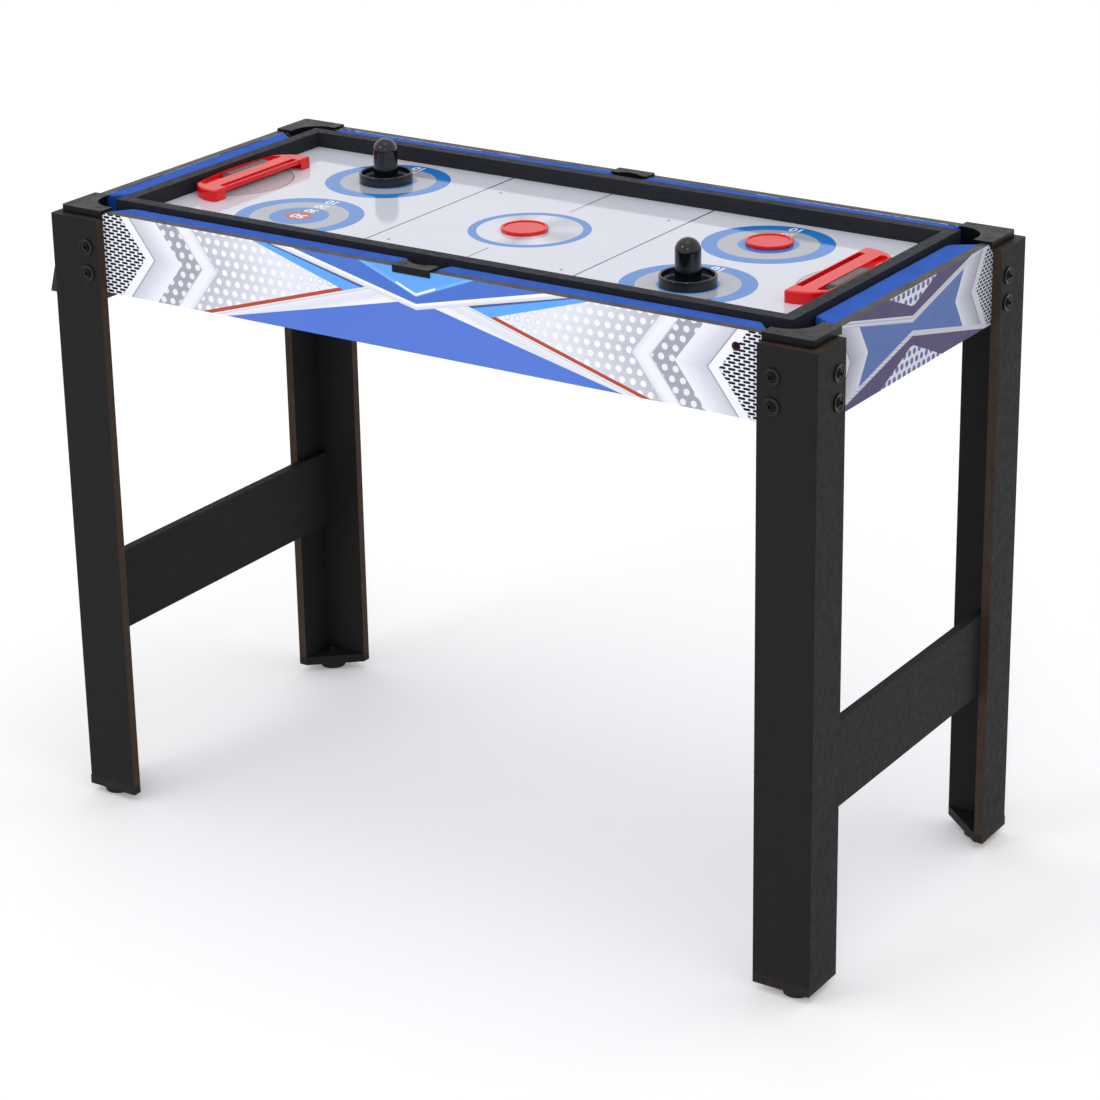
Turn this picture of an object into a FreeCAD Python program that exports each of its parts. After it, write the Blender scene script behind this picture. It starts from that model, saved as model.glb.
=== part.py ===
import FreeCAD, Part
import math
import os

# Push-hockey games table: a small pocket table on four board legs, with a lift-out
# hockey tray on its bed. Millimetres, +X along the length, +Y to the back, +Z up.
# The origin is on the floor, midway between the four feet.

# ---- driving dimensions -------------------------------------------------------------
LENGTH = 1090.0          # over the outer faces of the legs
WIDTH = 520.0
BOARD = 12.0             # thickness of the leg, apron, stretcher and foot boards
LEG_TOP = 797.0
CAP_TOP = 807.0          # top of the pocket caps
APRON_LOW = 702.0
APRON_TOP = 804.5
BED_TOP = 776.0
BED = 9.0                # thickness of the playing bed
CUSHION_TOP = 804.0
TRAY_X = 484.0           # half length of the hockey tray
TRAY_Y = 205.5           # half width of the hockey tray
TRAY_TOP = 810.0
TRAY_RAIL = 17.0         # width of the tray's rails
BOARD_TOP = 790.0        # hockey playing surface
FOOT_GAP = 10.0          # floor to the underside of the foot plates

# ---- legs ---------------------------------------------------------------------------
LEG_SIDE = 75.0          # width of a leg's long-side board
LEG_END = 66.0           # width of a leg's short-side board
LEG_ROUND = 2.5          # rounding of a leg's outer corner
FOOT_X = 517.5
FOOT_Y = 237.0
FOOT_R = 17.0
FOOT_H = FOOT_GAP         # the pad is screwed up against the plate
STUD_R = 4.0
STUD_TOP = 28.0
STUD_FIT = 0.05          # running clearance of the stud in its plate, on the radius
STRETCHER_LOW = 216.0
STRETCHER_HIGH = 324.0

# ---- leg bolts ----------------------------------------------------------------------
BOLT_IN_X = 56.0         # bolt line from the leg's corner, along the long side
BOLT_IN_Y = 48.5         # the same along the short side
BOLT_Z = (761.0, 727.0)
BOLT_R = 3.0
BOLT_HEAD_R = 6.5
BOLT_HEAD_H = 3.4
WASHER_R = 10.4
WASHER_H = 1.2           # under the bolt head
WASHER_RIM = 0.9         # how far the rim stands above that
WASHER_CUP_R = 9.0
NUT_FLATS = 10.0
NUT_H = 5.0

# ---- screws and dowels --------------------------------------------------------------
BORE_GAP = 0.1           # a bore's radius over that of its screw or dowel
HEAD_GAP = 0.2           # a countersink's radius and depth over those of its head
PLATE_SCREW_R = 1.8      # up through a foot plate into the leg boards
PLATE_SCREW_H = 30.0
PLATE_HEAD_R = 3.5
PLATE_HEAD_H = 2.0
PLATE_SCREW_IN = 45.0    # the middle one of three, in from the leg's corner
DOWEL_R = 4.0
DOWEL = 16.0             # half in the leg, half in the stretcher
DOWEL_HOLE = 16.4
DOWEL_STEP = 50.0        # between the two dowels at a stretcher's end
CAP_SCREW_R = 1.4
CAP_SCREW_H = 14.0
CAP_SCREW_IN = 7.0       # cap screws, in from the aprons' faces
CAP_HEAD_R = 2.8
CAP_HEAD_H = 1.1
CAP_SINK = 1.3           # depth of the caps' countersinks
BOX_SCREW_R = 1.4
BOX_SCREW_H = 9.0        # length of a ball box screw in the left apron
BOX_HEAD_R = 3.4
BOX_HEAD_H = 1.8
BOX_SCREW_Y = (-165.0, -70.0, 70.0, 165.0)
BOX_SCREW_Z = 736.0
ACCESSORY_R = 5.5        # the peg hole in the front apron
ACCESSORY_X = 437.0
ACCESSORY_Z = 784.0

# ---- pockets and caps ---------------------------------------------------------------
CORNER_X = 478.0
CORNER_Y = 196.0
CORNER_R = 33.0
SIDE_Y = 209.0
SIDE_R = 26.0
CAP = 2.5                # thickness of a cap's top plate
SKIRT = 2.0              # thickness of its outer skirt and of its pocket wall
CAP_END_X = 470.0        # where a corner cap ends on the long side
CAP_END_Y = 186.0        # and on the short side
SIDE_CAP = 27.0          # half width of a side cap
SIDE_CAP_Y = 229.0
CUSHION_CUT = 24.0       # how far a cushion's end leans back at a corner pocket
CUSHION_LIP = 10.0       # the same at a side pocket
CUSHION_END_X = 470.0
CUSHION_END_Y = 182.0
CUSHION_SIDE_X = 22.0

# ---- ball return --------------------------------------------------------------------
RUNNER_IN = 173.0        # runner walls, from the centre line
RUNNER_OUT = 229.0
RUNNER_WALL = 3.0
RUNNER_RIGHT = 512.0
RUNNER_LEFT = -458.0
CROSS_LEFT = -514.0
FLOOR_RIGHT = 725.0      # runner floor at its right end
FLOOR_LEFT = 715.0
FLOOR_EXIT = 711.0       # cross runner's floor at the centre line
EXIT_HALF = 30.0         # half width of the hole that the balls leave by
EXIT_TOP = 753.0
BOX_HALF = 190.0
BOX_LOW = 665.0
BOX_OUT_LOW = 618.0      # the box's outer wall, from the centre, at its foot
BOX_OUT_HIGH = 608.0     # and at the apron's lower edge
BOX_WALL = 3.0

# ---- playing pieces -----------------------------------------------------------------
GOAL_FRONT = 412.0       # front of a goal's feet, from the centre
GOAL_BACK = 466.5
GOAL_HALF = 99.5
GOAL_TOP = 805.0
MOUTH_HALF = 78.0
MOUTH_TOP = 799.0
BAR_FRONT = 413.2        # the bar over a goal's mouth
BAR = 2.2
BAR_SLOT = 9.0           # the open slot behind the bar
SCORE_FRONT = 443.8      # the score slider's recess
SCORE_BACK = 458.5
SCORE_FLOOR = 800.7
SCORE_LINE = 451.1       # line that the slider runs on
SCORE_GUIDE = 50.6       # half length of its guide slot
SLIDER_HALF = 47.0
PUCK_R = 29.5
PUCK_H = 4.6
PUSHER_R = 34.5
PUSHER_RIM = 12.5
PUSHER_H = 56.5
KNOB_R = 15.5
PUCKS = {"puck_centre": (-5.0, -4.0), "puck_right": (282.0, 98.0)}
PUSHERS = {"pusher_left": (-286.0, 94.0), "pusher_right": (283.0, -94.0)}

# ---- worked out ---------------------------------------------------------------------
HALF_L = LENGTH / 2
HALF_W = WIDTH / 2
APRON_X = HALF_L - BOARD         # outer face of the short aprons
APRON_Y = HALF_W - BOARD
INNER_X = APRON_X - BOARD        # inner face of the short aprons
INNER_Y = APRON_Y - BOARD
BED_LOW = BED_TOP - BED
PLATE_TOP = FOOT_GAP + BOARD
BOLT_X = HALF_L - BOLT_IN_X
BOLT_Y = HALF_W - BOLT_IN_Y
QUADRANTS = {
    "front_left": (-1, -1),
    "front_right": (1, -1),
    "back_left": (-1, 1),
    "back_right": (1, 1),
}

X = FreeCAD.Vector(1, 0, 0)
Y = FreeCAD.Vector(0, 1, 0)
Z = FreeCAD.Vector(0, 0, 1)
ORIGIN = FreeCAD.Vector(0, 0, 0)

os.makedirs("parts", exist_ok=True)


# ---- helpers ------------------------------------------------------------------------
def point(x, y, z=0.0):
    return FreeCAD.Vector(x, y, z)


def box(x0, x1, y0, y1, z0, z1):
    return Part.makeBox(x1 - x0, y1 - y0, z1 - z0, point(x0, y0, z0))


def rod(radius, length, start, direction=Z):
    return Part.makeCylinder(radius, length, start, direction)


def prism(corners, low, high):
    """A vertical prism over an outline in plan."""
    points = [point(x, y, low) for x, y in corners]
    return Part.Face(Part.makePolygon(points + points[:1])).extrude(Z * (high - low))


def side_prism(corners, y0, y1):
    """A prism along Y over an outline in the XZ plane."""
    points = [point(x, y0, z) for x, z in corners]
    return Part.Face(Part.makePolygon(points + points[:1])).extrude(Y * (y1 - y0))


def end_prism(corners, x0, x1):
    """A prism along X over an outline in the YZ plane."""
    points = [point(x0, y, z) for y, z in corners]
    return Part.Face(Part.makePolygon(points + points[:1])).extrude(X * (x1 - x0))


def edge(start, end):
    return Part.LineSegment(start, end).toShape()


def bend(start, middle, end):
    return Part.Arc(start, middle, end).toShape()


def hexagon(flats, height, start, direction):
    """A hexagonal prism across the given flats, with a corner to the side, not on top."""
    radius = flats / math.sqrt(3.0)
    across = Z.cross(direction)
    points = []
    for step in range(6):
        angle = math.radians(60 * step)
        points.append(start + across * (radius * math.cos(angle)) + Z * (radius * math.sin(angle)))
    return Part.Face(Part.makePolygon(points + points[:1])).extrude(direction * height)


def placed(shape, sign_x, sign_y):
    """Mirror a shape made for the back right quadrant into another one."""
    if sign_x < 0:
        shape = shape.mirror(ORIGIN, X)
    if sign_y < 0:
        shape = shape.mirror(ORIGIN, Y)
    return shape


def rounded(corners, radius, low, high, keep=()):
    """A vertical prism whose corners are rounded, all but those listed in keep."""
    solid = prism(corners, low, high)
    uprights = []
    for line in solid.Edges:
        tangent = line.tangentAt(line.FirstParameter)
        start = line.Vertexes[0].Point
        kept = any(math.hypot(start.x - x, start.y - y) < 0.01 for x, y in keep)
        if abs(tangent.z) > 0.99 and not kept:
            uprights.append(line)
    return solid.makeFillet(radius, uprights)


def save(name, shape):
    solids = shape.Solids
    for solid in solids:
        assert solid.isValid() and solid.Volume > 0, name
    shape = solids[0] if len(solids) == 1 else Part.makeCompound(solids)
    shape.exportStep("parts/" + name + ".step")


# ---- legs ---------------------------------------------------------------------------
def bolt_places():
    """Each leg bolt's start on the leg's outer face, and the way that it points in."""
    places = []
    for sign_x, sign_y in QUADRANTS.values():
        for height in BOLT_Z:
            places.append((point(sign_x * BOLT_X, sign_y * HALF_W, height), Y * -sign_y))
            places.append((point(sign_x * HALF_L, sign_y * BOLT_Y, height), X * -sign_x))
    return places


def bolt_bores(clearance=0.2):
    return Part.makeCompound([
        rod(BOLT_R + clearance, 2 * BOARD + 2, start - inward, inward)
        for start, inward in bolt_places()
    ])


def plate_screw_places():
    inset = BOARD / 2
    return [
        (HALF_L - LEG_SIDE + inset, HALF_W - inset),
        (HALF_L - inset, HALF_W - LEG_END + inset),
        (HALF_L - PLATE_SCREW_IN, HALF_W - inset),
    ]


def dowel_places():
    middle = (STRETCHER_LOW + STRETCHER_HIGH) / 2
    across = HALF_W - BOARD - (LEG_END - BOARD) / 2
    return [(across, middle - DOWEL_STEP / 2), (across, middle + DOWEL_STEP / 2)]


def dowels(radius, length):
    start = APRON_X - length / 2
    return Part.makeCompound([rod(radius, length, point(start, y, z), X) for y, z in dowel_places()])


def leg_boards():
    """The two boards of the back right leg, mitred together at the outer corner."""
    arc_x = HALF_L - LEG_ROUND
    arc_y = HALF_W - LEG_ROUND
    diagonal = LEG_ROUND * math.sqrt(0.5)
    eighth = LEG_ROUND * math.cos(math.radians(67.5)), LEG_ROUND * math.sin(math.radians(67.5))
    mitre = point(arc_x + diagonal, arc_y + diagonal, PLATE_TOP)
    corner = point(APRON_X, APRON_Y, PLATE_TOP)

    inner = point(HALF_L - LEG_SIDE, APRON_Y, PLATE_TOP)
    outer = point(HALF_L - LEG_SIDE, HALF_W, PLATE_TOP)
    turn = point(arc_x, HALF_W, PLATE_TOP)
    middle = point(arc_x + eighth[0], arc_y + eighth[1], PLATE_TOP)
    side = Part.Wire([edge(corner, inner), edge(inner, outer), edge(outer, turn),
                      bend(turn, middle, mitre), edge(mitre, corner)])

    inner = point(APRON_X, HALF_W - LEG_END, PLATE_TOP)
    outer = point(HALF_L, HALF_W - LEG_END, PLATE_TOP)
    turn = point(HALF_L, arc_y, PLATE_TOP)
    middle = point(arc_x + eighth[1], arc_y + eighth[0], PLATE_TOP)
    end = Part.Wire([edge(corner, inner), edge(inner, outer), edge(outer, turn),
                     bend(turn, middle, mitre), edge(mitre, corner)])

    rise = Z * (LEG_TOP - PLATE_TOP)
    pilots = [
        rod(PLATE_SCREW_R + BORE_GAP, PLATE_SCREW_H + 2, point(x, y, PLATE_TOP - 1))
        for x, y in plate_screw_places()
    ]
    bores = Part.makeCompound(pilots + [bolt_bores(), dowels(DOWEL_R + BORE_GAP, DOWEL_HOLE)])
    return Part.Face(side).extrude(rise).cut(bores), Part.Face(end).extrude(rise).cut(bores)


def foot_plate():
    """The corner plate under a leg: a triangle with blunt ends as wide as the boards."""
    corners = [
        (HALF_L, HALF_W),
        (HALF_L - LEG_SIDE, HALF_W),
        (HALF_L - LEG_SIDE, APRON_Y),
        (APRON_X, HALF_W - LEG_END),
        (HALF_L, HALF_W - LEG_END),
    ]
    plate = prism(corners, FOOT_GAP, PLATE_TOP)
    bores = [rod(STUD_R + STUD_FIT, BOARD + 2, point(FOOT_X, FOOT_Y, FOOT_GAP - 1))]
    for x, y in plate_screw_places():
        bores.append(rod(PLATE_SCREW_R + BORE_GAP, BOARD + 2, point(x, y, FOOT_GAP - 1)))
        bores.append(rod(PLATE_HEAD_R + HEAD_GAP, PLATE_HEAD_H + HEAD_GAP, point(x, y, FOOT_GAP)))
    return plate.cut(Part.makeCompound(bores))


def levelling_foot():
    pad = rod(FOOT_R, FOOT_H, point(FOOT_X, FOOT_Y))
    rim = max(pad.Edges, key=lambda line: line.BoundBox.ZMin)
    pad = pad.makeFillet(1.5, [rim])
    stud = rod(STUD_R, STUD_TOP - FOOT_H + 1, point(FOOT_X, FOOT_Y, FOOT_H - 1))
    tip = max(stud.Edges, key=lambda line: line.BoundBox.ZMin)
    return pad.fuse(stud.makeChamfer(0.8, [tip]))


def plate_screw(x, y):
    """A screw with a slotted head, sunk into the underside of a foot plate."""
    slot = 2.4
    head = rod(PLATE_HEAD_R, PLATE_HEAD_H, point(x, y, FOOT_GAP + HEAD_GAP))
    drive = box(x - slot, x + slot, y - 0.4, y + 0.4, FOOT_GAP, FOOT_GAP + 1.0)
    return head.fuse(rod(PLATE_SCREW_R, PLATE_SCREW_H, point(x, y, FOOT_GAP + 1.0))).cut(drive)


def make_legs():
    side, end = leg_boards()
    plate = foot_plate()
    foot = levelling_foot()
    pins = dowels(DOWEL_R, DOWEL)
    all_pins = []
    all_screws = []
    for name, signs in QUADRANTS.items():
        save("leg_side_board_" + name, placed(side, *signs))
        save("leg_end_board_" + name, placed(end, *signs))
        save("foot_plate_" + name, placed(plate, *signs))
        save("levelling_foot_" + name, placed(foot, *signs))
        all_pins.append(placed(pins, *signs))
        for x, y in plate_screw_places():
            all_screws.append(placed(plate_screw(x, y), *signs))
    save("stretcher_dowels", Part.makeCompound(all_pins))
    save("foot_plate_screws", Part.makeCompound(all_screws))


def make_stretchers():
    panel = box(INNER_X, APRON_X, -APRON_Y, APRON_Y, STRETCHER_LOW, STRETCHER_HIGH)
    bores = dowels(DOWEL_R + BORE_GAP, DOWEL_HOLE)
    panel = panel.cut(bores).cut(placed(bores, 1, -1))
    save("stretcher_right", panel)
    save("stretcher_left", placed(panel, -1, 1))


def leg_bolt(start, inward):
    top = start - inward * WASHER_H
    ball = (BOLT_HEAD_R ** 2 + BOLT_HEAD_H ** 2) / (2 * BOLT_HEAD_H)
    dome = Part.makeSphere(ball, top + inward * (ball - BOLT_HEAD_H))
    dome = dome.common(rod(BOLT_HEAD_R, BOLT_HEAD_H, top - inward * BOLT_HEAD_H, inward))
    socket = hexagon(4.0, 2.2, top - inward * (BOLT_HEAD_H + 0.1), inward)
    shank = rod(BOLT_R, WASHER_H + 2 * BOARD + NUT_H + 1.0, top, inward)
    return dome.cut(socket).fuse(shank)


def make_leg_bolts():
    bolts = []
    washers = []
    nuts = []
    for start, inward in bolt_places():
        bolts.append(leg_bolt(start, inward))
        ring = rod(WASHER_R, WASHER_H + WASHER_RIM, start, inward * -1)
        ring = ring.cut(rod(WASHER_CUP_R, WASHER_RIM, start - inward * WASHER_H, inward * -1))
        washers.append(ring.cut(rod(BOLT_R + 0.1, WASHER_H, start, inward * -1)))
        seat = start + inward * (2 * BOARD)
        nut = hexagon(NUT_FLATS, NUT_H, seat, inward)
        nuts.append(nut.cut(rod(BOLT_R + 0.05, NUT_H, seat, inward)))
    save("leg_bolts", Part.makeCompound(bolts))
    save("leg_washers", Part.makeCompound(washers))
    save("leg_nuts", Part.makeCompound(nuts))


# ---- cabinet ------------------------------------------------------------------------
def cap_screw_places():
    """Screws of the back right corner cap, then those of the back side cap."""
    corner = [
        (CAP_END_X + 2 * CAP_SCREW_IN, APRON_Y - CAP_SCREW_IN),
        (APRON_X - CAP_SCREW_IN - 1, APRON_Y - CAP_SCREW_IN),
        (APRON_X - CAP_SCREW_IN, CAP_END_Y + 11.0),
    ]
    side = [(-SIDE_CAP / 2, APRON_Y - CAP_SCREW_IN), (SIDE_CAP / 2, APRON_Y - CAP_SCREW_IN)]
    return corner, side


def cap_screw(x, y):
    """A cross-head screw, sunk into a cap's top."""
    head = rod(CAP_HEAD_R, CAP_HEAD_H, point(x, y, CAP_TOP - CAP_SINK))
    for reach_x, reach_y in ((1.8, 0.35), (0.35, 1.8)):
        head = head.cut(box(x - reach_x, x + reach_x, y - reach_y, y + reach_y, CAP_TOP - 0.8, CAP_TOP))
    low = CAP_TOP - CAP_SINK - CAP_SCREW_H + 0.1
    return head.fuse(rod(CAP_SCREW_R, CAP_SCREW_H, point(x, y, low)))


def cap_screws():
    corner, side = cap_screw_places()
    screws = []
    for signs in QUADRANTS.values():
        screws += [placed(cap_screw(x, y), *signs) for x, y in corner]
    for sign_y in (-1, 1):
        screws += [placed(cap_screw(x, y), 1, sign_y) for x, y in side]
    return screws


def cap_screw_bores():
    corner, side = cap_screw_places()
    low = CAP_TOP - CAP_SINK - CAP_SCREW_H - 0.7
    bores = []
    for signs in QUADRANTS.values():
        bores += [placed(rod(CAP_SCREW_R + BORE_GAP, 20.0, point(x, y, low)), *signs) for x, y in corner]
    for sign_y in (-1, 1):
        bores += [rod(CAP_SCREW_R + BORE_GAP, 20.0, point(x, sign_y * y, low)) for x, y in side]
    return bores


def box_screw_places():
    return [(y, BOX_SCREW_Z) for y in BOX_SCREW_Y]


def make_aprons():
    bores = Part.makeCompound([bolt_bores()] + cap_screw_bores())
    notch = rod(SIDE_R + SKIRT + 0.1, 60.0, point(0, SIDE_Y, BED_LOW))
    back = box(-APRON_X, APRON_X, INNER_Y, APRON_Y, APRON_LOW, APRON_TOP).cut(notch)
    accessory = rod(ACCESSORY_R, BOARD, point(ACCESSORY_X, -APRON_Y, ACCESSORY_Z), Y)
    save("apron_back", back.cut(bores))
    save("apron_front", placed(back, 1, -1).cut(bores).cut(accessory))

    right = box(INNER_X, APRON_X, -INNER_Y, INNER_Y, APRON_LOW, APRON_TOP)
    save("apron_right", right.cut(bores))
    left = placed(right, -1, 1).cut(bores)
    left = left.cut(box(-APRON_X, -INNER_X, -EXIT_HALF, EXIT_HALF, APRON_LOW, EXIT_TOP))
    pilots = [
        rod(BOX_SCREW_R + BORE_GAP, BOX_SCREW_H + HEAD_GAP, point(-APRON_X, y, z), X)
        for y, z in box_screw_places()
    ]
    save("apron_left", left.cut(Part.makeCompound(pilots)))


def pocket_holes(low, high, grow=0.0):
    holes = []
    for sign_x, sign_y in QUADRANTS.values():
        holes.append(rod(CORNER_R + grow, high - low, point(sign_x * CORNER_X, sign_y * CORNER_Y, low)))
    for sign_y in (-1, 1):
        holes.append(rod(SIDE_R + grow, high - low, point(0, sign_y * SIDE_Y, low)))
    return Part.makeCompound(holes)


def make_bed():
    bed = box(-INNER_X, INNER_X, -INNER_Y, INNER_Y, BED_LOW, BED_TOP)
    save("playing_bed", bed.cut(pocket_holes(BED_LOW - 1, BED_TOP + 1)))

    joist = 9.0
    battens = [
        box(x - joist, x + joist, -RUNNER_IN + 0.2, RUNNER_IN - 0.2, BED_LOW - 30, BED_LOW)
        for x in (-300.0, 0.0, 300.0)
    ]
    cleat = 7.0
    for sign_y in (-1, 1):
        for start in (-420.0, 60.0):
            strip = box(start, start + 360, INNER_Y - cleat, INNER_Y, BED_LOW - BOARD, BED_LOW)
            battens.append(placed(strip, 1, sign_y))
        strip = box(-INNER_X, -INNER_X + cleat, 40, 190, BED_LOW - BOARD, BED_LOW)
        battens.append(placed(strip, 1, sign_y))
    battens.append(box(INNER_X - cleat, INNER_X, -160, 160, BED_LOW - BOARD, BED_LOW))
    save("bed_battens", Part.makeCompound(battens))


# ---- ball return --------------------------------------------------------------------
def side_runner():
    """The back runner: a trough under the bed that falls towards the left."""
    wall = RUNNER_WALL
    low = [(RUNNER_LEFT, FLOOR_LEFT - wall), (RUNNER_RIGHT, FLOOR_RIGHT - wall)]
    floor = side_prism(low + [(RUNNER_RIGHT, FLOOR_RIGHT), (RUNNER_LEFT, FLOOR_LEFT)],
                       RUNNER_IN, RUNNER_OUT)
    outline = low + [(RUNNER_RIGHT, BED_LOW), (RUNNER_LEFT, BED_LOW)]
    inner = side_prism(outline, RUNNER_IN, RUNNER_IN + wall)
    outer = side_prism(outline, RUNNER_OUT - wall, RUNNER_OUT)
    stop = box(RUNNER_RIGHT - wall, RUNNER_RIGHT, RUNNER_IN, RUNNER_OUT, FLOOR_RIGHT - wall, BED_LOW)
    return floor.multiFuse([inner, outer, stop]).removeSplitter()


def cross_runner():
    """The left runner: falls from both sides to a spout through the left apron."""
    wall = RUNNER_WALL
    high = FLOOR_LEFT - 0.5
    top = [(-RUNNER_OUT, high), (0, FLOOR_EXIT), (RUNNER_OUT, high)]
    bottom = [(y, z - wall) for y, z in reversed(top)]
    floor = end_prism(top + bottom, CROSS_LEFT, RUNNER_LEFT)
    ends = bottom + [(-RUNNER_OUT, BED_LOW), (RUNNER_OUT, BED_LOW)]
    outer = end_prism(ends, CROSS_LEFT, CROSS_LEFT + wall)
    outer = outer.cut(box(CROSS_LEFT, CROSS_LEFT + wall, -EXIT_HALF, EXIT_HALF, FLOOR_EXIT + 1, EXIT_TOP))
    inner = end_prism(ends, RUNNER_LEFT - wall, RUNNER_LEFT)
    inner = inner.common(box(CROSS_LEFT, RUNNER_LEFT, -RUNNER_IN, RUNNER_IN, APRON_LOW, BED_LOW))
    stops = [
        placed(box(CROSS_LEFT, RUNNER_LEFT, RUNNER_OUT - wall, RUNNER_OUT, high - wall, BED_LOW), 1, sign)
        for sign in (-1, 1)
    ]
    spout = box(-APRON_X - 9, CROSS_LEFT + 6, 2 - EXIT_HALF, EXIT_HALF - 2,
                FLOOR_EXIT - wall, FLOOR_EXIT)
    return floor.multiFuse([outer, inner, spout] + stops).removeSplitter()


def ball_box():
    """An open-topped tray hung on the left apron, with an outer wall that leans in."""
    wall = BOX_WALL
    outside = [
        (-APRON_X, BOX_LOW), (-APRON_X, EXIT_TOP), (-APRON_X - 5, EXIT_TOP),
        (-BOX_OUT_HIGH, APRON_LOW), (-BOX_OUT_LOW, BOX_LOW),
    ]
    lean = (BOX_OUT_LOW - BOX_OUT_HIGH) / (APRON_LOW - BOX_LOW)
    foot = -BOX_OUT_LOW + wall + lean * wall
    inside = [
        (-APRON_X - wall, BOX_LOW + wall), (-APRON_X - wall, EXIT_TOP + 1),
        (foot + lean * (EXIT_TOP + 1 - BOX_LOW - wall), EXIT_TOP + 1), (foot, BOX_LOW + wall),
    ]
    tray = side_prism(outside, -BOX_HALF, BOX_HALF)
    tray = tray.cut(side_prism(inside, wall - BOX_HALF, BOX_HALF - wall))
    tray = tray.cut(box(-APRON_X - wall, -APRON_X, -EXIT_HALF, EXIT_HALF, 706.0, EXIT_TOP))
    bores = [
        rod(BOX_SCREW_R + 3 * BORE_GAP, wall + 2, point(-APRON_X - wall - 1, y, z), X)
        for y, z in box_screw_places()
    ]
    return tray.cut(Part.makeCompound(bores))


def box_screw(y, z):
    start = point(-APRON_X - BOX_WALL - BOX_HEAD_H, y, z)
    head = rod(BOX_HEAD_R, BOX_HEAD_H, start, X)
    return head.fuse(rod(BOX_SCREW_R, BOX_HEAD_H + BOX_WALL + BOX_SCREW_H, start, X))


def make_ball_return():
    runner = side_runner()
    save("side_runners", Part.makeCompound([runner, placed(runner, 1, -1)]))
    save("cross_runner", cross_runner())
    save("ball_return_box", ball_box())
    save("ball_box_screws", Part.makeCompound([box_screw(y, z) for y, z in box_screw_places()]))


# ---- cushions -----------------------------------------------------------------------
def cushion_section(depth):
    """The section of a cushion: distance from the apron, then height."""
    return [
        (0.0, BED_TOP), (depth - 11.0, BED_TOP), (depth, CUSHION_TOP - 6.5),
        (depth - 0.6, CUSHION_TOP - 3.2), (depth - 3.0, CUSHION_TOP - 0.8),
        (depth - 6.5, CUSHION_TOP), (0.0, CUSHION_TOP),
    ]


def make_cushions():
    gap = 1.0
    depth = INNER_Y - TRAY_Y - gap
    nose = INNER_Y - depth
    corners = [
        (CUSHION_SIDE_X, INNER_Y), (CUSHION_END_X, INNER_Y),
        (CUSHION_END_X - CUSHION_CUT, nose), (CUSHION_SIDE_X + CUSHION_LIP, nose),
    ]
    plan = rounded(corners, 5.0, BED_TOP, CUSHION_TOP, keep=corners[:2])
    section = [(INNER_Y - away, z) for away, z in cushion_section(depth)]
    cushion = plan.common(end_prism(section, 0, CUSHION_END_X + 1))
    for name, signs in QUADRANTS.items():
        save("cushion_" + name, placed(cushion, *signs))

    depth = INNER_X - TRAY_X - gap
    nose = INNER_X - depth
    corners = [
        (INNER_X, -CUSHION_END_Y), (INNER_X, CUSHION_END_Y),
        (nose, CUSHION_END_Y - CUSHION_CUT), (nose, CUSHION_CUT - CUSHION_END_Y),
    ]
    plan = rounded(corners, 6.0, BED_TOP, CUSHION_TOP, keep=corners[:2])
    section = [(INNER_X - away, z) for away, z in cushion_section(depth)]
    cushion = plan.common(side_prism(section, -CUSHION_END_Y - 1, CUSHION_END_Y + 1))
    save("cushion_right", cushion)
    save("cushion_left", placed(cushion, -1, 1))


# ---- pocket caps --------------------------------------------------------------------
def countersinks(places):
    cuts = []
    for x, y in places:
        cuts.append(rod(CAP_SCREW_R + 2 * BORE_GAP, 10.0, point(x, y, CAP_TOP - 8.0)))
        cuts.append(rod(CAP_HEAD_R + HEAD_GAP, 2.0, point(x, y, CAP_TOP - CAP_SINK)))
    return Part.makeCompound(cuts)


def corner_cap():
    reach_x = APRON_X + SKIRT
    reach_y = APRON_Y + SKIRT
    outline = [
        (CAP_END_X, CORNER_Y + CORNER_R), (CORNER_X, CORNER_Y + CORNER_R),
        (CORNER_X + CORNER_R, CORNER_Y), (CORNER_X + CORNER_R, CAP_END_Y),
        (reach_x, CAP_END_Y), (reach_x, reach_y), (CAP_END_X, reach_y),
    ]
    low = LEG_TOP + 0.3
    block = prism(outline, low, CAP_TOP)
    uprights = [
        line for line in block.Edges
        if line.BoundBox.XLength < 0.01 and line.BoundBox.XMin > reach_x - 0.01
        and line.BoundBox.YLength < 0.01 and line.BoundBox.YMin > reach_y - 0.01
    ]
    block = block.makeFillet(4.0, uprights)
    under = box(CAP_END_X - 1, APRON_X, CAP_END_Y - 1, APRON_Y, low - 1, CAP_TOP - CAP)
    block = block.cut(under)
    ring = rod(CORNER_R + SKIRT, CAP_TOP - BED_TOP - 1, point(CORNER_X, CORNER_Y, BED_TOP))
    keep = prism([(CORNER_X, CORNER_Y), (CORNER_X + 60, CORNER_Y - 9),
                  (CORNER_X + 60, CORNER_Y + 60), (CORNER_X - 9, CORNER_Y + 60)], BED_TOP, CAP_TOP)
    wall = ring.common(keep)
    block = block.fuse(wall).cut(rod(CORNER_R, 60, point(CORNER_X, CORNER_Y, BED_TOP - 10)))
    return block.cut(countersinks(cap_screw_places()[0])).removeSplitter()


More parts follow.
